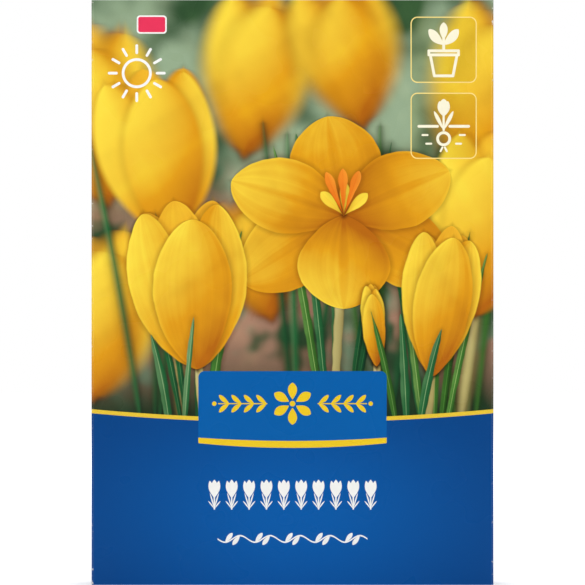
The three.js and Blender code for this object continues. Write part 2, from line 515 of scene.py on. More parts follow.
for side in (-1, 1):
    for end in (-1, 1):
        trim_dust_flap(sheet, side, end)
        round_tuck_corner(sheet, side, end)
print(f"trimmed to {len(sheet.faces)} faces")

# %% [markdown]
# Corms breathe, so the sides and the back have round vents. Each vent was ruled as a square. Its faces come
# out, a circle of the right size goes in, and `triangle_fill` fills the sheet between the square and the
# circle. A boolean cut would work too, but this keeps the mesh clean and keeps the hole exactly where the
# die has it.

# %% Punch the vents
VENT_STEPS = 32


def punch(bm, across, up):
    middle = Vector((across, FRONT_PLANE, up))
    offsets = ((face, face.calc_center_median() - middle) for face in bm.faces)
    square = [face for face, off in offsets if max(abs(off.x), abs(off.z)) < VENT_SQUARE]
    inside = set(square)
    rim = [e for face in square for e in face.edges if any(f not in inside for f in e.link_faces)]
    bmesh.ops.delete(bm, geom=square, context="FACES")
    circle = {"cap_ends": False, "radius": VENT, "segments": VENT_STEPS}
    verts = bmesh.ops.create_circle(bm, matrix=Matrix.Translation(middle) @ UPRIGHT, **circle)["verts"]
    edges = dict.fromkeys(edge for vert in verts for edge in vert.link_edges)
    ring = bmesh.ops.triangle_fill(bm, use_beauty=True, edges=[*rim, *edges], normal=(0, -1, 0))["geom"]
    for face in (part for part in ring if isinstance(part, bmesh.types.BMFace)):
        face.material_index = DIE_NAMES.index("back" if across > BACK else "side")
        face.normal_update()
        if face.normal.y > 0:
            face.normal_flip()


for across, up in VENTS:
    punch(sheet, across, up)
print(f"{len(VENTS)} vents punched, {len(sheet.faces)} faces")

# %% [markdown]
# Before folding, each point of the sheet notes where it lies on the flat blank, because the folding changes
# its coordinates. It also notes how worn it is: the ink cracks a little along a crease and more at its
# ends. Then the front and the back get their slight swell, which the corms inside press into a real packet.

# %% Note the flat places, the wear, and swell the panels
across_note = sheet.verts.layers.float.new("across")
up_note = sheet.verts.layers.float.new("up")
wear_note = sheet.verts.layers.float.new("wear")
SIDE_HOLLOW = 0.12 * MM
SWELL_POWER = 4  # the higher it is, the closer to its ends a panel stays full
END_SWELL = 0.3  # share of the front's swell that is left at its ends
CREASE_WEAR = 0.25  # away from the corners, where it is 1
CORNER_POWER = 16
WORN_HALF = 0.3 * FOLD
CREASE_MIDDLES = [at + FOLD / 2 for at in (-RIGHT, FRONT_HALF, RIGHT_END, BACK_END)]


def swell(across, up):
    """How far a point of the flat sheet moves towards the viewer."""
    fade = 1 - (abs(up - MIDDLE) / MIDDLE) ** SWELL_POWER
    if abs(across) < FRONT_HALF:
        return BOW * (1 - (across / FRONT_HALF) ** 2) * (END_SWELL + (1 - END_SWELL) * fade)
    fade = max(fade, 0)
    if BACK < across < BACK_END:
        share = (across - BACK) / (BACK_END - BACK) * 2 - 1
        return BOW * (1 - share**2) * fade
    if abs(abs(across) - SIDE_MIDDLE) < SIDE / 2:
        share = (abs(across) - SIDE_MIDDLE) / SIDE * 2
        return -SIDE_HOLLOW * (1 - share**2) * fade
    return 0


for vert in sheet.verts:
    vert[across_note] = vert.co.x
    vert[up_note] = vert.co.z
    on_crease = min(abs(vert.co.x - at) for at in CREASE_MIDDLES) < WORN_HALF
    near_corner = min(abs(vert.co.z - MIDDLE) / MIDDLE, 1) ** CORNER_POWER
    vert[wear_note] = CREASE_WEAR + (1 - CREASE_WEAR) * near_corner if on_crease else 0.0
    vert.co.y -= swell(vert.co.x, vert.co.z)
print("flat places noted")

# %% [markdown]
# Now the sheet is folded. At each ruled line of a crease, everything beyond the line turns a little about
# it, and after all the lines it has turned through a right angle round an even curve. The outermost creases
# go first, while the rest of the sheet is still flat: the tuck flaps, the lids and dust flaps, and then the
# upright creases.

# %% Fold
NEAR = 0.01 * MM


def bend(bm, note, start, way, axis, within):
    """Folds what lies beyond start, in the direction way along the note, back by a right angle."""
    for line in range(CREASE_STRIPS + 1):
        at = start + way * STRIP * line
        moving = [v for v in bm.verts if (v[note] - at) * way > NEAR and within(v)]
        on_line = [v for v in bm.verts if abs(v[note] - at) < NEAR and within(v)]
        hinge = min(on_line, key=lambda v: abs(v[up_note] - MIDDLE)).co.copy()
        share = 0.5 if line in (0, CREASE_STRIPS) else 1.0
        angle = way * pi / 2 * share / CREASE_STRIPS
        turn = Matrix.Rotation(angle if axis == "Z" else -angle, 3, axis)
        bmesh.ops.rotate(bm, verts=moving, cent=hinge, matrix=turn)


def bend_flap(bm, start, end, rise, way):
    """Folds a flap, which starts at a rise and lies between two places across the sheet."""

    def within(v):
        return start - NEAR < v[across_note] < end + NEAR and (v[up_note] - MIDDLE) * way > rise - NEAR

    bend(bm, up_note, MIDDLE + way * rise, way, "X", within)


for way in (-1, 1):
    bend_flap(sheet, back_at(TUCK_HALF), back_at(-TUCK_HALF), TUCK_RISE, way)
    bend_flap(sheet, back_at(LID_HALF), back_at(-LID_HALF), LID_RISE, way)
    bend_flap(sheet, RIGHT + DUST_FRONT, RIGHT + DUST_BACK, SIDE_RISE, way)
    bend_flap(sheet, -RIGHT - DUST_BACK, -RIGHT - DUST_FRONT, SIDE_RISE, way)
for start, way in ((BACK_END, 1), (RIGHT_END, 1), (FRONT_HALF, 1), (-FRONT_HALF, -1)):
    bend(sheet, across_note, start, way, "Z", lambda v: True)
print("folded to", [f"{max(v.co[i] for v in sheet.verts) / MM:.2f}" for i in range(3)])

# %% [markdown]
# ## Board thickness
#
# The folded sheet is the printed outside of the board. The Solidify modifier gives it its half millimetre
# inwards, evenly round the folds, and closes the cut edges with a rim. Its material offsets give the inside
# and the rim their own slots: after the five printed panels come five slots for the grey inside, and five
# for the white cut edge.

# %% Give the board its thickness
carton = place_object(as_mesh(sheet, "carton_board"), "printed_carton")
PANELS = len(DIE_NAMES)
for slot in range(3 * PANELS):
    carton.data.materials.append(None)
wall = carton.modifiers.new("board", "SOLIDIFY")
wall.thickness = BOARD
wall.offset = -1
wall.use_even_offset = True
wall.use_rim = True
wall.material_offset = PANELS
wall.material_offset_rim = 2 * PANELS
solid = carton.evaluated_get(bpy.context.evaluated_depsgraph_get())
walled = bpy.data.meshes.new_from_object(solid)
carton.modifiers.clear()
carton.data = walled
print(f"carton of {len(walled.polygons)} faces")

# %% [markdown]
# ## Smooth folds, crisp edges, and a map for baking
#
# The strips of a fold should shade as one round, while the cut edges stay sharp, so an edge is marked sharp
# where its faces meet at more than 40 degrees. The map lays the blank out flat as it was printed. The front
# gets most of the room, because the picture is on it, the inside of the board shares one small copy, and
# the cut edges share a patch.

# %% Shade and map the carton
SHARP = radians(40)
FRONT_SCALE = 0.98 / HEIGHT
REST_SCALE = 0.29 / (BACK_END - BACK + 2 * FOLD)
INSIDE_SCALE = 0.14 / (GLUE_END - LEFT_END)
REST, INSIDE = 0.70, 0.88  # where the columns of the map start
COLUMN = 0.07  # from one side to the other
BACK_ROW, INSIDE_ROW, FLAP_ROW, SIDE_ROW, LID_ROW = 0.565, 0.36, 0.20, 0.13, 0.005
LID_STEP = 0.055  # from the lower lid to the upper one
MARGIN = 0.005
EDGE_PATCH = 0.02


def map_place(panel, across, up):
    """Where a point of the printed side lies in the map, which runs from 0 to 1 each way."""
    if panel == "front":
        return (across + RIGHT) * FRONT_SCALE + MARGIN, up * FRONT_SCALE + 2 * MARGIN
    if panel == "back":
        return (across - RIGHT_END) * REST_SCALE + REST, up * REST_SCALE + BACK_ROW
    if panel == "side":
        column = REST + COLUMN * (across > 0)
        return (abs(across) - RIGHT) * REST_SCALE + column, up * REST_SCALE + SIDE_ROW
    if panel == "lid":
        row = LID_ROW + LID_STEP * (up > MIDDLE)
        return (across - RIGHT_END) * REST_SCALE + REST, (abs(up - MIDDLE) - LID_RISE) * REST_SCALE / 2 + row
    return across * INSIDE_SCALE + INSIDE, up * INSIDE_SCALE * 0.8 + FLAP_ROW


def lay_out(mesh):
    bm = bmesh.new()
    bm.from_mesh(mesh)
    across_note, up_note = (bm.verts.layers.float[name] for name in ("across", "up"))
    places = bm.loops.layers.uv.new("OFBake")
    for face in bm.faces:
        face.smooth = True
        layer, panel = divmod(face.material_index, PANELS)
        for corner, loop in enumerate(face.loops):
            across, up = loop.vert[across_note], loop.vert[up_note]
            if layer == 0:
                loop[places].uv = map_place(DIE_NAMES[panel], across, up)
            elif layer == 1:
                loop[places].uv = (across * INSIDE_SCALE + INSIDE, up * INSIDE_SCALE + INSIDE_ROW)
            else:
                loop[places].uv = (INSIDE + EDGE_PATCH * (corner in (1, 2)), EDGE_PATCH * (1 + (corner > 1)))
    for edge in bm.edges:
        edge.smooth = edge.calc_face_angle(0) < SHARP
    bm.to_mesh(mesh)
    bm.free()


lay_out(carton.data)
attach(carton, "root")
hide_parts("carton")
print("carton mapped")

# %% [markdown]
# ## Printing: where on the panel
#
# A printed pattern needs to know where it is on its panel, in millimetres, with the first number to the
# right and the second up, as the reader of that panel sees it. The carton's object coordinates give this
# directly, because the panels are square to the axes. A place is a pair of wires, x and y, with a size: a
# sign is drawn in shares of that size, so it can be printed large or small. For something that is printed
# at an angle, `set_at` works out two rows of numbers, and `local_place` turns a place by them inside a
# group.

# %% Places on a panel
new_group("print_place", {}, "X", "Y", "Z")
x, y, z = split(object_place())
PRINT_PLACE = close_group(X=x * (1 / MM), Y=y * (1 / MM), Z=z * (1 / MM))


class Place:
    """Two wires. What is printed there is described in units of its size."""

    def __init__(self, x, y, size=1):
        self.x, self.y, self.size = x, y, size

    def __iter__(self):
        return iter((self.x, self.y))

    def moved(self, x, y, size=1):
        return Place(self.x - x, self.y - y, size)

    def mirrored(self):
        return Place(abs(self.x), self.y, self.size)

    def swapped(self):
        return Place(self.y, self.x, self.size)


def print_place(panel):
    """The place on a panel. The sides share one design, and each is read from its own side."""
    x, y, z = use(PRINT_PLACE).values()
    if panel == "front":
        return Place(x, z)
    if panel == "back":
        return Place(-x, z)
    if panel == "side":
        return Place(y * calc("SIGN", x), z)
    return Place(x, y)


def set_at(place, foot, lean, half=1, length=1):
    """The inputs for something that stands at foot and leans to the right by some degrees."""
    cosine, sine = cos(radians(lean)), sin(radians(lean))
    x, y = (value * place.size for value in foot)
    across = (cosine / half, -sine / half, (y * sine - x * cosine) / half)
    along = (sine / length, cosine / length, -(x * sine + y * cosine) / length)
    return {"X": place.x, "Y": place.y, "Across": across, "Along": along}


def local_place(given):
    rows = (split(given[row]) for row in ("Across", "Along"))
    return [times_plus(given["X"], by_x, times_plus(given["Y"], by_y, shift)) for by_x, by_y, shift in rows]

# %% [markdown]
# ## Printing: a patch
#
# Plates, frames, rules, discs and rings are all one shape, a turned rectangle with round corners. The group
# works out how far a place is from its edge. Inside that edge is the fill, and a band just inside it is the
# outline.

# %% The printed patch
EDGE = 0.06  # mm over which a printed edge fades
SIGN_LINE = 0.045  # of the size of a sign


def below_zero(distance):
    return span(distance, EDGE, -EDGE)


def above_zero(distance):
    return span(distance, -EDGE, EDGE)


def near_zero(value, half):
    return span(abs(value), half + EDGE, half - EDGE)


PATCH = {"X": 0.0, "Y": 0.0, "Across": PLACE, "Along": PLACE, "Half": PLACE, "Corner": 0.0, "Line": 0.3}
given = new_group("printed_patch", PATCH, "Fill", "Outline")
halves = split(given["Half"])
past = []
for value, half in zip(local_place(given), halves):
    inner_half = half - given["Corner"]
    past.append(abs(value) - inner_half)
distance = length(*(calc("MAXIMUM", value, 0) for value in past))
distance = distance + calc("MINIMUM", calc("MAXIMUM", *past), 0) - given["Corner"]
fill = below_zero(distance)
half_line = given["Line"] * 0.5
PATCH = close_group(Fill=fill, Outline=below_zero(abs(distance + half_line) - half_line))


def patch(place, middle, half, corner=0.0, turn=0.0, line=None):
    size = place.size
    values = {"Half": (half[0] * size, half[1] * size, 0), "Corner": corner * size}
    if line:
        values["Line"] = line * size
    return use(PATCH, **set_at(place, middle, -turn), **values)


def disc(place, middle, radius, line=None):
    return patch(place, middle, (radius, radius), radius, line=line)


def stroke(place, start, end, width=SIGN_LINE):
    """A straight line with round ends."""
    (x, y), (dx, dy) = start, (end[0] - start[0], end[1] - start[1])
    half = (hypot(dx, dy) / 2 + width / 2, width / 2)
    return patch(place, (x + dx / 2, y + dy / 2), half, width / 2, degrees(atan2(dy, dx)))["Fill"]


def either(*masks):
    joined = masks[0]
    for mask in masks[1:]:
        joined = calc("MAXIMUM", joined, mask)
    return joined

# %% [markdown]
# ## Printing: a petal
#
# A petal, a leaf and a stem are the same shape with other proportions: a blade that starts at its foot,
# swells and runs out in a tip, along a spine that may bend. The group gives three numbers for a place.
# Depth is how far inside the outline it is, Rise runs from 0 at the foot to 1 at the tip, and Side from -1
# at the left edge to 1 at the right one. The half width along the blade is a sine whose peak slides towards
# the tip as Belly grows.

# %% The outline of a blade
BLADE = {"X": 0.0, "Y": 0.0, "Across": PLACE, "Along": PLACE, "Half": 1.0, "Length": 1.0}
BLADE.update({"Bend": 0.0, "Belly": 1.3, "Round": 0.62})
given = new_group("blade_outline", BLADE, "Depth", "Rise", "Side")
side, rise = local_place(given)
off_spine = side - rise * rise * given["Bend"]
reach = calc("SINE", rise ** given["Belly"] * pi) ** given["Round"]
inside = reach - abs(off_spine)
past_end = abs(rise - 0.5) - 0.5
past_end = calc("MAXIMUM", past_end, 0) * given["Length"]
depth = inside * given["Half"] - past_end
OUTLINE = close_group(Depth=depth, Rise=rise, Side=off_spine / calc("MAXIMUM", reach, 0.1))


def blade_values(place, foot, lean, length, half, bend=0.0, belly=1.3, round=0.62):
    length, half = length * place.size, half * place.size
    shape = {"Half": half, "Length": length, "Bend": bend, "Belly": belly, "Round": round}
    return set_at(place, foot, lean, half, length) | shape


def blade(*shape, **more):
    return above_zero(use(OUTLINE, **blade_values(*shape, **more))["Depth"])

# %% [markdown]
# The painted blade lays one petal or leaf over what is already there. Its light is a sum of simple parts:
# darker near the foot, brighter on the lit side, rounded across, a rib down the middle, veins that follow
# its length, and a thin glowing edge where light shines through. The sum picks a colour between three inks.
# Before it goes on, it also darkens a soft band round its outline, as its shadow does on the petals behind.
# Blur widens the edge, for the flowers that are out of focus, and those use a plainer group with no veins,
# because it is quicker. The mottle, one noise that all blades share, makes the outline of a sharp petal a
# little uneven.
#
# Cycles has only 255 places for numbers that are still needed, and more than a hundred blades lie on each
# other. So a blade takes x and y as two numbers and never makes a vector of them, and its ranges aren't
# clamped.

# %% The painted blade
INKS = {"Deep": (0.0, 0.0, 0.0), "Middle": (0.5, 0.5, 0.5), "Light": (1.0, 1.0, 1.0)}
LIGHTS = {"Tone": 0.3, "Lift": 0.5, "Lit": 0.1, "Curve": 0.1, "Rib": -0.04, "Vein": 0.16, "Rim": 0.12}
LIGHTS["Shadow"] = 0.4
CAST = (0.3, 0.2, 0.08)
SHADOW_START, SHADOW_REACH = 0.4, 1.6  # mm, as the next two are
RIM_DEPTH = 1.2
UNEVEN = 0.9
RIB_HALF = 0.02
VEINS = 5.5
SHARP_BLUR = 0.5  # a blade with less blur than this has veins


def make_blade(name, veined):
    inputs = {"Under": (1.0, 1.0, 1.0), **BLADE, "Blur": 0.15, "Seed": 0.0, "Mottle": 0.5, **INKS, **LIGHTS}
    given = new_group(name, inputs, "Color")
    depth, rise, side = use(OUTLINE, **{key: given[key] for key in BLADE}).values()

    tone = times_plus(rise * (2 - rise), given["Lift"], given["Tone"])
    tone = times_plus(side, given["Lit"], tone)
    across = side * side
    tone = tone - across * given["Curve"]
    if veined:
        mottle = given["Mottle"] - 0.5
        depth = times_plus(mottle, UNEVEN, depth)
        tone = times_plus(span(across, RIB_HALF, 0.0), given["Rib"], tone)
        lines = noise(side + given["Seed"], VEINS, 3.0, 0.6) - 0.5 + mottle
        tone = times_plus(lines, given["Vein"], tone)
        tone = times_plus(span(depth, RIM_DEPTH, 0.0), given["Rim"], tone)
    colour = blend(tone * 2, given["Deep"], given["Middle"])
    colour = blend(times_plus(tone, 2, -1), colour, given["Light"])

    shadow = span(depth, -SHADOW_REACH - given["Blur"], SHADOW_START) * given["Shadow"]
    under = blend(shadow, given["Under"], CAST, "MULTIPLY")
    return close_group(Color=blend(span(depth, -given["Blur"], given["Blur"]), under, colour))


VEINED = make_blade("veined_blade", veined=True)
SOFT = make_blade("soft_blade", veined=False)


def three_inks(*inks):
    return {name: ink(*shown) for name, shown in zip(INKS, inks)}


GOLD = three_inks((180, 100, 14), (226, 156, 23), (255, 222, 68))
AMBER = three_inks((138, 72, 12), (212, 134, 20), (246, 190, 48))
LEAF = three_inks((8, 44, 26), (36, 100, 54), (150, 186, 132))
GRASS = three_inks((24, 56, 14), (64, 118, 44), (170, 200, 120))
STEM = three_inks((126, 112, 62), (188, 176, 112), (232, 226, 188))
ORANGE = three_inks((160, 50, 0), (232, 96, 8), (252, 160, 50))


class Panel:
    """What is printed so far on a panel, and where."""

    def __init__(self, place, colour, mottle=None):
        self.place, self.colour, self.mottle = place, colour, mottle

    def lay(self, mask, colour, how="MIX"):
        self.colour = blend(mask, self.colour, colour, how)

    def paint(self, foot, lean, length, half, inks, blur=0.15, bend=0.0, belly=1.3, round=0.62, **lights):
        """Lays one blade on top. It leans to the right by so many degrees."""
        values = blade_values(self.place, foot, lean, length, half, bend, belly, round)
        values |= {"Under": self.colour, "Blur": blur, "Mottle": self.mottle, **inks, **lights}
        self.colour = use(VEINED if blur < SHARP_BLUR else SOFT, **values)["Color"]

# %% [markdown]
# ## Printing: flowers
#
# A crocus has six petals in two rings of three. Seen from the side it is a goblet: three petals at the
# back, which show their deeper inside, one that bulges out at each side, and one in front. Seen from above
# it is a star, with the outer three under the inner three, and an orange style between three stamens in its
# throat. Each flower is a short list of petals in proportion to its height, with small differences drawn at
# random.

# %% Flowers, leaves and stems
GOBLET = (  # lean, length, half width, bend, tone, lit side, belly, inks
    (-14, 0.93, 0.155, 0.20, -0.10, 0.05, 1.5, AMBER),
    (13, 0.95, 0.155, -0.20, -0.02, -0.05, 1.5, AMBER),
    (0, 0.99, 0.165, 0.00, 0.06, 0.05, 1.5, AMBER),
    (0, 0.50, 0.105, 0.00, -0.20, -0.10, 0.9, AMBER),
    (-25, 0.95, 0.170, 0.95, 0.08, -0.18, 1.25, GOLD),
    (24, 0.92, 0.175, -0.95, -0.10, 0.24, 1.25, GOLD),
    (1, 0.88, 0.225, 0.00, 0.00, -0.22, 1.15, GOLD),
)


def goblet(picture, foot, height, lean=0.0, open=1.0, blur=0.15, bright=0.0, seed=0):
    draw = random.Random(seed)
    for turn, length, half, bend, tone, lit, belly, inks in GOBLET:
        picture.paint(
            foot, lean + (turn + draw.uniform(-2, 2)) * open, length * height * draw.uniform(0.96, 1.03),
            half * height * (0.5 + 0.5 * open), inks, blur, (bend + draw.uniform(-0.2, 0.2)) * open, belly,
            round=0.54, Tone=tone + bright, Lift=0.8, Lit=lit, Seed=draw.uniform(0, 90),
            Shadow=0.5 if blur < SHARP_BLUR else 0.25,
        )


def star(picture, middle, radius, tilt, flatness, seed=0):
    draw = random.Random(seed)
    for layer, share in ((0, 1.0), (1, 0.93)):
        petals = [radians(tilt + 120 * i + 60 * layer + draw.uniform(-5, 5)) for i in range(3)]
        for angle in sorted(petals, key=lambda a: -sin(a)):
            dx, dy = cos(angle), flatness * sin(angle)
            across = hypot(sin(angle), flatness * cos(angle))
            picture.paint(
                middle, degrees(atan2(dx, dy)), share * radius * hypot(dx, dy), 0.35 * radius * across, GOLD,
                bend=0.2 * dx, belly=1.12, round=0.58, Seed=draw.uniform(0, 90), Lift=0.86, Shadow=0.45,
                Tone=-0.2 + 0.12 * layer - 0.08 * dx, Lit=0.1 - 0.16 * dy, Curve=0.16, Rib=-0.1,
            )
    for lean in (-44, 3, 47):
        picture.paint(middle, lean, 0.25 * radius, 0.04 * radius, GOLD, belly=2.2, Tone=0.5, Shadow=0.3)
    for lean in (-22, -1, 19):
        picture.paint(middle, lean, 0.36 * radius, 0.035 * radius, ORANGE, belly=2.6, Tone=0.3, Shadow=0.3)


def stem(picture, foot, top, half=1.25, blur=0.15):
    dx, dy = top[0] - foot[0], top[1] - foot[1]
    picture.paint(
        foot, degrees(atan2(dx, dy)), hypot(dx, dy) * 1.12, half, STEM, blur, belly=1.0, round=0.25,
        Tone=0.2, Lift=0.35, Lit=-0.18, Curve=0.3, Rib=0.0, Vein=0.1, Shadow=0.3,
    )


def leaf_bunch(picture, foot, count, length, seed, blur=0.15, tone=0.3):
    """Leaves that grow from one corm, beside its flowers."""
    draw = random.Random(seed)
    for number in range(count):
        lean = 34 * ((number + 0.5) / count - 0.5) + draw.uniform(-4, 4)
        tall = length * draw.uniform(0.7, 1.0)
        light = tone + draw.uniform(-0.15, 0.2)
        inks = draw.choice((LEAF, LEAF, GRASS))
        start = (foot[0] + 0.25 * lean, foot[1])
        picture.paint(
            start, lean * 0.6, tall, draw.uniform(0.9, 1.3), inks, blur, lean * 0.2, belly=0.8, round=0.5,
            Tone=light, Lift=0.1, Lit=-0.16, Curve=0.1, Vein=0.15, Rim=0.0, Shadow=0.3,
            Rib=0.3 if blur < SHARP_BLUR else 0.0,
        )


print(f"a goblet is {len(GOBLET)} blades")

# %% [markdown]
# ## Printing: the picture
#
# The picture is painted from the back to the front, as a painter would: a blurred garden ground, blossoms
# far out of focus, blossoms a little out of focus with leaves between them, and the sharp flowers last.

# %% The picture
CRISP = 0.22  # blur of what is in focus
FAR = (  # foot, height, lean, blur, bright
    ((-51, 106), 48, -8, 4.4, 0.08),
    ((51, 108), 52, 12, 4.6, 0.00),
    ((-13, 119), 44, 9, 3.8, 0.06),
    ((19, 127), 40, -12, 4.0, -0.05),
    ((-6, 74), 34, -14, 3.4, -0.12),
    ((-55, 52), 46, 8, 3.6, 0.14),
)
NEARER = (
    ((-33, 95), 48, -9, 1.2, 0.06),
    ((50, 74), 50, 8, 1.5, 0.04),
)


def garden_ground(up):
    at = object_place()
    green = blend(span(noise(at, 44.0, 2.0), 0.40, 0.66), ink(48, 78, 48), ink(150, 172, 140))
    earthy = span(noise(at, 61.0, 2.0), 0.42, 0.56) * span(up, 130, 80)
    colour = blend(earthy, green, ink(166, 126, 104))
    return blend(span(up, 74, 44), colour, ink(24, 52, 30))


def dapple(picture):
    """Sun and shade that fall over everything in patches, as they do under trees."""
    x, y = picture.place
    sun = noise(times_plus(x, 0.7, y * 0.4), 0.09, 2.0)
    slope = noise(times_plus(y, 0.8, x * -0.5), 0.07, 2.0)
    light = (sun + slope) * 0.5
    picture.lay(span(light, 0.5, 0.3, 0.0, 0.3), (0.62, 0.46, 0.3), "MULTIPLY")
    picture.lay(span(light, 0.5, 0.7, 0.0, 0.4), (1.0, 0.96, 0.8), "SOFT_LIGHT")


def paint_picture(place):
    mottle = noise(object_place(), 160.0, 2.0)
    picture = Panel(place, garden_ground(place.y), mottle)
    for number, (foot, height, lean, blur, bright) in enumerate(FAR):
        goblet(picture, foot, height, lean, blur=blur, bright=bright, seed=number)
    for x, seed in ((-38, 1), (2, 2), (24, 9), (48, 3)):
        leaf_bunch(picture, (x, 46), 3, 82, seed, blur=1.5)
    for number, (foot, height, lean, blur, bright) in enumerate(NEARER):
        stem(picture, (foot[0] * 0.92, 44), foot, 1.7, blur)
        goblet(picture, foot, height, lean, blur=blur, bright=bright, seed=10 + number)
    for x, count, tall, seed in ((-26, 5, 70, 4), (12, 6, 86, 5), (38, 5, 64, 6)):
        leaf_bunch(picture, (x, 42), count, tall, seed, CRISP)
    stem(picture, (11, 42), (14, 96), blur=CRISP)
    star(picture, (14, 101), 36, 92, 0.76, seed=2)
    stem(picture, (-24, 42), (-26, 63), blur=CRISP)
    goblet(picture, (-26, 59), 48, -6, blur=CRISP, seed=21)
    stem(picture, (24, 42), (23, 62), 1.0, blur=CRISP)
    goblet(picture, (23, 60), 23, -4, open=0.2, blur=CRISP, bright=-0.05, seed=25)
    stem(picture, (37, 42), (38, 62), blur=CRISP)
    goblet(picture, (38, 57), 43, 6, open=0.62, blur=CRISP, seed=22)
    leaf_bunch(picture, (-31, 42), 2, 36, 7, tone=0.4)
    leaf_bunch(picture, (32, 42), 3, 34, 8, tone=0.4)
    dapple(picture)
    return picture


print(f"{len(FAR) + len(NEARER)} blurred flowers behind the sharp ones")

# %% [markdown]
# ## Printing: the front
#
# Below the picture lies a blue band that starts at a shallow yellow curve and darkens towards its edges, as
# a lit cloth would. A plate stands across the curve, and small outlined fields sit in the top corner. They
# carry plain garden signs: a sun, a potted sprout and a corm under the soil. A row of ten little crocuses
# says how many corms there are without a word.

# %% Repeats and curves
def in_row(place, pitch, count, size=1):
    """Gives each of count cells in a row, centred on zero, the same places."""
    x, y = place
    last = (count - 1) / 2
    cell = times_plus(x, 1 / pitch, last)
    cell = calc("ROUND", calc("MINIMUM", calc("MAXIMUM", cell, 0), count - 1))
    return Place(x - times_plus(cell, pitch, -last * pitch), y, size)


def in_ring(place, count):
    """Gives each of count sectors round zero the same places, as in the sector that points up."""
    sector = 2 * pi / count
    angle = calc("ARCTAN2", *place)
    turns = calc("ROUND", angle / sector)
    folded = times_plus(turns, -sector, angle)
    radius = length(*place)
    return Place(radius * calc("SINE", folded), radius * calc("COSINE", folded), place.size)


def parabola(x, middle, rise, half):
    """The height of a shallow curve that starts at middle and has risen by rise at half."""
    return times_plus(x * x, rise / half**2, middle)

# %% Signs
RAYS = 12
PETALS = 6
SOIL_MARKS = (((0.02, -0.36), (0.05, -0.42)), ((0.26, -0.16), (0.34, -0.16)), ((0.2, -0.3), (0.28, -0.3)))


def crocus_sign(place):
    """A little crocus with its stem and four narrow leaves."""
    side = place.mirrored()
    return either(
        blade(place, (0, -0.12), 0, 0.62, 0.105, belly=1.5, round=0.8),
        blade(side, (0, -0.14), 21, 0.62, 0.085, bend=-0.8, belly=1.4, round=0.8),
        stroke(place, (0, -0.5), (0, 0), 0.05),
        blade(side, (0, -0.5), 13, 0.56, 0.022, bend=1.2),
        blade(side, (0, -0.5), 33, 0.34, 0.022, bend=1.2),
    )


def sun_sign(place):
    rays = in_ring(place, RAYS)
    return either(disc(place, (0, 0), 0.5, 0.09)["Outline"], stroke(rays, (0, 0.68), (0, 0.92), 0.09))


def pot_sign(place):
    side = place.mirrored()
    return either(
        patch(place, (0, -0.05), (0.26, 0.055), 0.02, line=SIGN_LINE)["Outline"],
        stroke(side, (0.21, -0.11), (0.15, -0.42)),
        stroke(side, (0, -0.42), (0.15, -0.42)),
        stroke(place, (0, 0), (0, 0.22)),
        blade(side, (0, 0.08), 52, 0.34, 0.075, bend=-0.6),
        blade(place, (0, 0.16), 0, 0.28, 0.065),
    )


def planted_sign(place):
    """A crocus that grows from its corm, below the line of the soil."""
    side = place.mirrored()
    return either(
        stroke(side, (0.1, -0.02), (0.4, -0.02)),
        disc(place, (0, -0.22), 0.12, SIGN_LINE)["Outline"],
        stroke(place, (0, -0.08), (0, 0.2), 0.8 * SIGN_LINE),
        blade(place, (0, 0.14), 0, 0.28, 0.075),
        blade(side, (0, 0.14), 24, 0.25, 0.05, bend=-0.7),
        blade(side, (0, -0.08), 27, 0.34, 0.03),
        *(stroke(side, start, end, 0.7 * SIGN_LINE) for start, end in SOIL_MARKS),
    )


print(f"signs: a sun of {RAYS} rays, a pot, a planted corm and a crocus")

# %% The front panel's graphics
BAND_MIDDLE, BAND_RISE, BAND_HALF = 45.0, 2.45, 54
BAND_LINE = 0.55
BAND_LIGHT = (0, 19)
PLATE_HALF = 25.75
PLATE_TOP, PLATE_FOOT, PLATE_RISE = 58.5, 37.5, 1.3
ORNAMENT_UP = 49.6
CHIP = (-38.5, 153.3)
SUN_AT, SUN_SIZE = (-42.6, 140), 8.2
FIELD_X, FIELD_HALF, FIELD_SIGN = 41.35, 9.05, 17
POT_FIELD, CORM_FIELD = 146.4, 125.6  # how high their middles are
COUNT, COUNT_PITCH, COUNT_UP, COUNT_SIZE = 10, 4.75, 24.8, 8.0
WAVE, WAVE_SWAY, WAVE_HALF, WAVE_UP, WAVE_LINE = 8.2, 0.9, 20.5, 12.6, 0.4
WHITE = ink(250, 250, 246)
YELLOW = ink(242, 204, 38)
LINE_YELLOW = ink(234, 198, 58)
PALE = ink(252, 246, 218)
FIELD_LINE = ink(252, 226, 138)


def blue_band(place):
    x, y = place.moved(*BAND_LIGHT)
    away = length(x * (1 / 72), y * (1 / 44))
    return blend(span(away, 0.0, 1.0), ink(0, 91, 170), ink(1, 66, 132))


def print_line(panel, above):
    """A yellow rule where above is near zero."""
    panel.lay(below_zero(abs(above) - BAND_LINE), LINE_YELLOW)


def print_band(panel):
    x, up = panel.place
    above = up - parabola(x, BAND_MIDDLE, BAND_RISE, BAND_HALF)
    panel.lay(below_zero(above), blue_band(panel.place))
    print_line(panel, above)


def print_plate(panel):
    x, up = panel.place
    middle = (0, (PLATE_TOP + PLATE_FOOT) / 2)
    whole = patch(panel.place, middle, (PLATE_HALF, (PLATE_TOP - PLATE_FOOT) / 2), 1.7)["Fill"]
    above_foot = up - parabola(x, PLATE_FOOT, PLATE_RISE, PLATE_HALF)
    plate = whole * above_zero(above_foot)
    panel.lay(plate, ink(0, 94, 169))
    thickness = parabola(x, 1.9, -0.4, PLATE_HALF)
    panel.lay(below_zero(above_foot - thickness) * plate, YELLOW)
    panel.lay(plate_ornament(panel.place.moved(0, ORNAMENT_UP)), YELLOW)


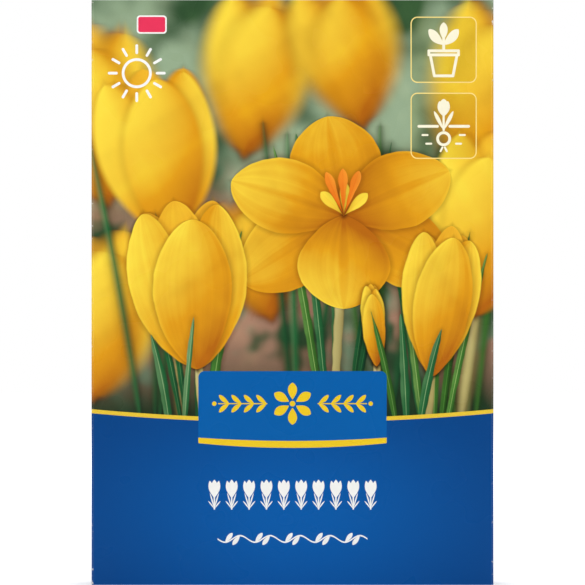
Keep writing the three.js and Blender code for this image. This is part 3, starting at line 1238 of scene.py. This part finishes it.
def plate_ornament(place):
    """A six-petalled flower between two leafy sprigs."""
    petals = in_ring(place, PETALS)
    side = place.mirrored()
    leaves = in_row(side.moved(13.4, 0), 3.4, 4)
    return either(
        blade(petals, (0, 1.15), 0, 4.6, 1.25, round=0.7),
        disc(place, (0, 0), 0.75)["Fill"],
        stroke(side, (7.0, 0), (20.2, 0), 0.28),
        blade(leaves, (-1.2, 0), 58, 3.6, 0.62, bend=-0.8),
        blade(leaves, (-1.2, 0), 122, 3.6, 0.62, bend=0.8),
        disc(side, (21.4, 0), 0.6)["Fill"],
    )


def print_signs(panel):
    place = panel.place
    panel.lay(patch(place, CHIP, (4.1, 2.5), 0.9)["Fill"], WHITE)
    panel.lay(patch(place, CHIP, (3.7, 2.1), 0.6)["Fill"], ink(234, 56, 92))
    panel.lay(sun_sign(place.moved(*SUN_AT, SUN_SIZE)), WHITE)
    for up in (POT_FIELD, CORM_FIELD):
        field = patch(place, (FIELD_X, up), (FIELD_HALF, FIELD_HALF), 1.9)
        panel.lay(field["Fill"], (0.86, 0.84, 0.7), "MULTIPLY")
        panel.lay(field["Outline"], FIELD_LINE)
    pot = pot_sign(place.moved(FIELD_X, POT_FIELD, FIELD_SIGN))
    corm = planted_sign(place.moved(FIELD_X, CORM_FIELD + 0.2, FIELD_SIGN))
    panel.lay(either(pot, corm), PALE)


def print_count(panel):
    """As many crocuses in a row as there are corms, over a thin wavy stalk with leaves."""
    row = in_row(panel.place.moved(0, COUNT_UP), COUNT_PITCH, COUNT, COUNT_SIZE)
    place = panel.place.moved(0, WAVE_UP)
    x, y = place
    off = abs(y - calc("SINE", x * (2 * pi / WAVE)) * WAVE_SWAY) - WAVE_LINE / 2
    ends = near_zero(x, WAVE_HALF)
    stalk = below_zero(off) * ends
    leaves = in_row(place, WAVE, 5)
    signs = either(
        crocus_sign(row),
        stalk,
        blade(leaves, (-2.0, -WAVE_SWAY), 38, 3.2, 0.6),
        blade(leaves, (2.0, WAVE_SWAY), -142, 3.2, 0.6),
    )
    panel.lay(signs, WHITE)


def print_front(place):
    panel = paint_picture(place)
    for step in (print_band, print_plate, print_count, print_signs):
        step(panel)
    return panel.colour


print("front ready")

# %% [markdown]
# ## Varnish, grain and wear
#
# Every printed panel gets the same finish over its own design. The ink has a faint grain. Where the board
# is creased, the ink cracks and rubs off in flecks, and the white board shows. The water-based varnish is
# satin: a little rougher in some places than in others, and dull where it is worn. Fibres just lift the
# surface.

# %% The finish of a printed panel
CORE = ink(236, 233, 224)
given = new_group("worn_print", {"Color": (0.5, 0.5, 0.5)}, "Color", "Roughness", "Height")
at = object_place()
wear = node("ShaderNodeAttribute", "Fac", attribute_name="wear")
flecks = noise(at, 900.0, 4.0, 0.65)
worn = span(times_plus(wear, 0.14, flecks), 0.66, 0.72)
worn = worn * span(wear, 0.1, 0.4)
grain = noise(at, 2600.0, 2.0, 0.7)
colour = blend(span(grain, 0.3, 0.7, 0.0, 0.04), given["Color"], (1, 1, 1), "SOFT_LIGHT")
colour = blend(worn * 0.8, colour, CORE)
rough = times_plus(noise(at, 55.0, 2.0), 0.12, 0.22)
rough = times_plus(worn, 0.3, rough)
fibres = noise(at, 700.0, 3.0, 0.6)
WORN_PRINT = close_group(Color=colour, Roughness=rough, Height=times_plus(worn, -0.5, fibres))


def printed(name, panel, print_panel):
    material = new_material(name)
    colour, roughness, height = use(WORN_PRINT, Color=print_panel(print_place(panel))).values()
    shade(Base_Color=colour, Roughness=roughness, Normal=bump(height, 0.2, 0.015), Specular_IOR_Level=0.14)
    return material

# %% [markdown]
# ## Printing: the sides and the lids
#
# The sides carry on the blue and the yellow line from the front, so the packet reads as one from any angle.
# Above the line each has a slender climbing stalk, and each lid has the little flower of the plate. The
# flaps, which are tucked away, are bare blue up to their cut edge.

# %% Sides, lids and flaps
SIDE_LINE = BAND_MIDDLE + BAND_RISE * (WIDTH / MM / 2 / BAND_HALF) ** 2
SIDE_BLUE, LOW_BLUE, FLAP_BLUE = ink(1, 68, 138), ink(2, 60, 122), ink(1, 62, 128)
STALK_LOW, STALK_HIGH = 65, 144
STALK_WAVE, SWAY, STALK_LINE = 18.0, 1.5, 0.44


def climbing_stalk(place):
    """A thin wavy stalk that climbs the side, with a leaf at each bend."""
    x, y = place
    off = abs(x - calc("SINE", y * (2 * pi / STALK_WAVE)) * SWAY) - STALK_LINE / 2
    middle, half = (STALK_LOW + STALK_HIGH) / 2, (STALK_HIGH - STALK_LOW) / 2
    ends = near_zero(y - middle, half)
    count = int(2 * half / STALK_WAVE)
    start = (ceil(STALK_LOW / STALK_WAVE) + (count - 1) / 2) * STALK_WAVE
    leaves = in_row(Place(y - start, -x), STALK_WAVE, count)
    return either(
        below_zero(off) * ends,
        blade(leaves, (-4.5, -SWAY), 30, 5.4, 0.9, bend=0.6),
        blade(leaves, (4.5, SWAY), 150, 5.4, 0.9, bend=-0.6),
    )


def print_side(place):
    panel = Panel(place, blend(span(place.y, 0, 60), LOW_BLUE, SIDE_BLUE))
    print_line(panel, place.y - SIDE_LINE)
    panel.lay(climbing_stalk(place), YELLOW)
    return panel.colour


def print_lid(place):
    petals = in_ring(place, PETALS)
    side = place.mirrored()
    signs = either(
        blade(petals, (0, 1.3), 0, 5.2, 1.4, round=0.7),
        disc(place, (0, 0), 0.85)["Fill"],
        stroke(side, (9.5, 0), (38, 0), 0.3),
        disc(side, (40, 0), 0.7)["Fill"],
    )
    return blend(signs, SIDE_BLUE, YELLOW)


def print_flap(place):
    return blend(span(place.y, 0, HEIGHT / MM), FLAP_BLUE, SIDE_BLUE)


print(f"yellow line of the sides at {SIDE_LINE:.2f} mm")

# %% [markdown]
# ## Printing: the back
#
# The back is where a packet says what to do. Here it says so in signs alone: a cut through the soil with a
# corm at its depth beside a ruler, a bar of twelve months with the planting and the flowering time marked,
# and how much sun the place should have.

# %% The back panel
CREAM, SOIL = ink(246, 240, 220), ink(120, 84, 54)
SUN_YELLOW, SIGN_BLUE = ink(244, 190, 30), ink(1, 74, 146)
GROUND, SOIL_LOW = 96.0, 76.0
PANEL_LOW, PANEL_HIGH = 54.0, 151.0
RULER_X = -37.0
NEEDS_ROW, MONTHS_ROW = 138.0, 66
MONTH = 7.0  # width of its cell


def print_soil(panel):
    place = panel.place
    half_height = (GROUND - SOIL_LOW) / 2
    soil = patch(place, (0, GROUND - half_height), (42, half_height), 1.5)["Fill"]
    pebbles = noise(object_place(), 420.0, 1.0)
    panel.lay(soil, blend(span(pebbles, 0.6, 0.64), SOIL, ink(158, 122, 84)))
    plant = in_row(place.moved(6, 0), 17.0, 4).moved(0, GROUND)
    side = plant.mirrored()
    leaves = either(blade(side, (0.6, -7), 12, 22, 0.55, bend=1.0), blade(side, (0.4, -7), 4, 19, 0.5))
    panel.lay(leaves, ink(62, 122, 62))
    panel.lay(stroke(plant, (0, -8), (0, 14), 0.9), ink(222, 216, 150))
    petals = either(blade(side, (0, 13), 20, 11, 2.1, bend=-0.7), blade(plant, (0, 13), 0, 11, 2.5))
    panel.lay(petals, ink(244, 184, 24))
    corm = patch(plant, (0, -10.5), (3.4, 2.7), 2.6)
    panel.lay(corm["Fill"], ink(196, 148, 96))
    panel.lay(corm["Outline"], ink(92, 58, 34))


def print_ruler(panel):
    ticks = panel.place.moved(RULER_X + 2, GROUND - 7.5)
    ruler = either(
        stroke(panel.place, (RULER_X, GROUND - 15), (RULER_X, GROUND - 1), 0.5),
        stroke(in_row(ticks.swapped(), 5.0, 4).swapped(), (-2, 0), (1.2, 0), 0.45),
    )
    panel.lay(ruler, ink(250, 246, 230))


def print_months(panel):
    local = panel.place.moved(0, MONTHS_ROW)
    cells = in_row(local, MONTH, 12)
    planting = span(abs(local.x - 3.5 * MONTH), 1.5 * MONTH + 0.1, 1.5 * MONTH - 0.1)
    flowering = span(abs(local.x + 4 * MONTH), MONTH + 0.1, MONTH - 0.1)
    fill = blend(planting, CREAM, SOIL)
    fill = blend(flowering, fill, SUN_YELLOW)
    cell = patch(cells, (0, 0), (3.2, 3.2), 0.7)
    panel.lay(cell["Fill"], fill)
    panel.lay(cell["Outline"], SIGN_BLUE)


def print_needs(panel):
    """A full sun and a half-shaded one, a drop of water and a pot."""
    place = panel.place
    for x, shaded in ((-30, False), (-12, True)):
        local = place.moved(x, NEEDS_ROW)
        rays = in_ring(local, RAYS)
        core = disc(local, (0, 0), 3.1, 0.4)
        panel.lay(core["Fill"] * (1 - above_zero(local.x)) if shaded else core["Fill"], SUN_YELLOW)
        panel.lay(either(core["Outline"], stroke(rays, (0, 4.2), (0, 6.0), 0.55)), ink(206, 138, 10))
    drop = place.moved(14, NEEDS_ROW)
    panel.lay(blade(drop, (0, -4.5), 0, 10, 3.0, belly=0.75), ink(40, 130, 200))
    panel.lay(pot_sign(place.moved(33, NEEDS_ROW + 0.5, 15)), SIGN_BLUE)


def print_back(place):
    above = place.y - SIDE_LINE
    panel = Panel(place, blend(span(above, -60, 30), LOW_BLUE, SIDE_BLUE))
    print_line(panel, above)
    half = (47, (PANEL_HIGH - PANEL_LOW) / 2)
    panel.lay(patch(place, (0, PANEL_LOW + half[1]), half, 3.0)["Fill"], CREAM)
    for step in (print_soil, print_ruler, print_months, print_needs):
        step(panel)
    return panel.colour


print("other panels ready")

# %% [markdown]
# ## The board inside and its cut edge
#
# The board is made from waste paper with a white top layer. Inside it is grey-white, with short fibres and
# specks of old ink. At a cut edge the core shows as thin layers, and it is rough where the knife crushed
# it.

# %% Materials of the bare board
def bare_board():
    material = new_material("bare_board")
    at = object_place()
    fibres = noise(at, 1300.0, 4.0, 0.65)
    specks = span(noise(at, 2100.0, 1.0), 0.74, 0.8)
    colour = blend(span(fibres, 0.3, 0.7), ink(186, 180, 168), ink(214, 209, 198))
    colour = blend(specks, colour, ink(120, 112, 104))
    shade(Base_Color=colour, Roughness=span(fibres, 0.3, 0.7, 0.75, 0.9), Normal=bump(fibres, 0.4, 0.05))
    shade(Specular_IOR_Level=0.25)
    return material


def cut_edge():
    material = new_material("cut_edge")
    fibres = noise(object_place(), 3200.0, 3.0, 0.7)
    colour = blend(span(fibres, 0.3, 0.7), ink(204, 198, 184), CORE)
    shade(Base_Color=colour, Normal=bump(fibres, 0.5, 0.04), Roughness=0.85, Specular_IOR_Level=0.2)
    return material


materials = [
    printed("front_print", "front", print_front),
    printed("side_print", "side", print_side),
    printed("back_print", "back", print_back),
    printed("lid_print", "lid", print_lid),
    printed("flap_print", "front", print_flap),
]
materials += [bare_board()] * PANELS + [cut_edge()] * PANELS
for slot, material in enumerate(materials):
    carton.data.materials[slot] = material
print("carton printed")

# %% [markdown]
# ## The corms
#
# A crocus corm is a flattened ball of starch in a coat of old leaf bases, the tunic. The tunic is dry and
# fibrous: its threads run from the root scar below to the tuft above, where the old leaves broke off. The
# CAD solids say where each corm lies, how big it is and which way its tuft points, and the finer corm is
# built on the same axis.
#
# The body is a profile that is spun about the axis. Low waves, which fade at both poles, wrinkle it as it
# dried, and they only go inwards, so that no corm grows into its neighbour. The tuft is a ring of thin
# pointed scraps.

# %% Where the corms lie
BASE = 9.0 * MM  # from the widest place down to the root scar
SHOULDER = 7.5 * MM  # and up to the tuft
SCAR_SHARE, FOOT_SHARE = 0.3, 0.22  # of the radius
HOLLOW = 1.2 * MM  # of the root scar
BUD = 1.0 * MM  # how far the middle of the top stands up
CURVE_POINTS = 9
SPIN_STEPS = 64
TUFT_SCRAPS = 13
SCRAP_FLATNESS = 0.35
WAVES = ((5, 0.006), (13, 0.003), (29, 0.002))  # how many round the corm, and how deep


def corm_pose(name):
    """Centre, radius and the direction of the tuft of a corm, from its solid in the frame."""
    low, high = (Vector(corner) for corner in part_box(name))
    centre = Vector(((low.x + high.x) / 2, 0, (low.z + high.z) / 2))
    solid = bpy.data.objects[name]
    tip = max((solid.matrix_world @ vert.co for vert in solid.data.vertices), key=lambda at: abs(at.y))
    return centre, (high.x - low.x) / 2, (tip - centre).normalized()


def corm_profile(radius):
    def at(share, height):
        return Vector((radius * share, 0, height))

    widest = at(1, 0)
    below = (at(SCAR_SHARE, -BASE), at(0.8, -BASE), at(1, -BASE / 2), widest)
    above = (widest, at(1, SHOULDER / 2), at(0.6, SHOULDER), at(FOOT_SHARE, SHOULDER))
    scar = [at(0, HOLLOW - BASE), at(SCAR_SHARE * 0.8, 0.75 * HOLLOW - BASE)]
    curve = interpolate_bezier(*below, CURVE_POINTS) + interpolate_bezier(*above, CURVE_POINTS)[1:]
    return scar + curve + [at(0.1, SHOULDER + 0.8 * BUD), at(0, SHOULDER + BUD)]


print(f"corm profile of {len(corm_profile(BASE))} points")

# %% Build the corms
def spun_body(bm, radius, waves):
    points = [bm.verts.new(at) for at in corm_profile(radius)]
    edges = [bm.edges.new(pair) for pair in zip(points, points[1:])]
    round_axis = {"cent": (0, 0, 0), "axis": (0, 0, 1), "angle": 2 * pi, "steps": SPIN_STEPS}
    bmesh.ops.spin(bm, geom=points + edges, use_merge=True, **round_axis)
    bmesh.ops.remove_doubles(bm, verts=bm.verts[:], dist=NEAR)
    for vert in bm.verts:
        angle = atan2(vert.co.y, vert.co.x)
        height = vert.co.z / BASE
        depth = sum(size * (1 + cos(count * angle + phase + 1.5 * height)) for count, phase, size in waves)
        share = 1 - depth * (1 - abs(height) ** 3)
        vert.co.x *= share
        vert.co.y *= share


def tuft(bm, radius, draw):
    foot = radius * FOOT_SHARE * 0.75
    scrap = {"segments": 6, "radius1": 0.75 * MM, "radius2": 0.05 * MM}
    for number in range(TUFT_SCRAPS):
        angle = 2 * pi * (number + draw.uniform(-0.3, 0.3)) / TUFT_SCRAPS
        tall = draw.uniform(1.7, 2.3) * MM
        lean = Matrix.Rotation(draw.uniform(-0.35, 0.25), 4, "Y") @ Matrix.Diagonal((SCRAP_FLATNESS, 1, 1, 1))
        place = Matrix.Rotation(angle, 4, "Z") @ Matrix.Translation((foot, 0, SHOULDER + tall / 2 - 0.2 * MM))
        bmesh.ops.create_cone(bm, cap_ends=True, depth=tall, matrix=place @ lean, **scrap)


def build_corm(name, draw):
    centre, radius, axis = corm_pose(name)
    bm = bmesh.new()
    spun_body(bm, radius, [(count, draw.uniform(0, 2 * pi), size) for count, size in WAVES])
    tuft(bm, radius, draw)
    grown = bm.verts.layers.float_vector.new("grown")
    for vert in bm.verts:
        vert[grown] = vert.co
    bmesh.ops.recalc_face_normals(bm, faces=bm.faces[:])
    turn = Vector((0, 0, 1)).rotation_difference(axis).to_matrix().to_4x4()
    bmesh.ops.transform(bm, matrix=Matrix.Translation(centre) @ turn, verts=bm.verts[:])
    for face in bm.faces:
        face.smooth = True
    piece = place_object(as_mesh(bm, name + "_body"), name + "_look")
    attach(piece, "root")
    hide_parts(name)
    return piece


draw = random.Random(11)
corms = [build_corm(f"corm_{number:02d}", draw) for number in range(1, COUNT + 1)]
print(f"{len(corms)} corms of {len(corms[0].data.polygons)} faces each")

# %% [markdown]
# The tunic is tan to dark brown, and its threads are drawn by a noise that is long along the axis and fine
# round it. It also has faint rings, where each old leaf ended, and papery patches that are lighter. The
# root scar is a pale corky disc. The tuft is the driest part, and the palest.

# %% The dry tunic
def dry_tunic():
    material = new_material("dry_tunic")
    grown = node("ShaderNodeAttribute", "Vector", attribute_name="grown")
    x, y, z = split(grown)
    height = z / BASE
    radius = length(x, y)
    safe = calc("MAXIMUM", radius, 0.1 * MM)
    meridian = {0: x / safe, 1: y / safe, 2: height * 0.12}
    threads = noise(node("ShaderNodeCombineXYZ", 0, meridian), 26.0, 4.0, 0.65)
    patches = noise(grown, 170.0, 2.0)
    rings = calc("SINE", times_plus(height, 19, patches * 5))
    tone = times_plus(rings, 0.06, threads)
    tone = times_plus(patches, 0.5, tone - 0.25)
    colour = blend(span(tone, 0.3, 0.5), ink(84, 50, 26), ink(152, 104, 58))
    colour = blend(span(tone, 0.5, 0.75), colour, ink(204, 164, 110))
    on_scar = span(height, -0.8, -0.86) * span(radius, 4.4 * MM, 3.6 * MM)
    colour = blend(on_scar, colour, ink(176, 150, 118))
    colour = blend(span(height, 0.84, 1.0), colour, ink(196, 166, 122))
    shade(Base_Color=colour, Roughness=span(tone, 0.3, 0.8, 0.85, 0.6), Normal=bump(tone, 0.7, 0.35))
    shade(Specular_IOR_Level=0.3)
    return material


tunic = dry_tunic()
for corm in corms:
    corm.data.materials.append(tunic)
print("corms dressed")

# %% Finish
{"cad": [list(corner) for corner in cad_box], "visual": [list(c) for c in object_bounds()]}
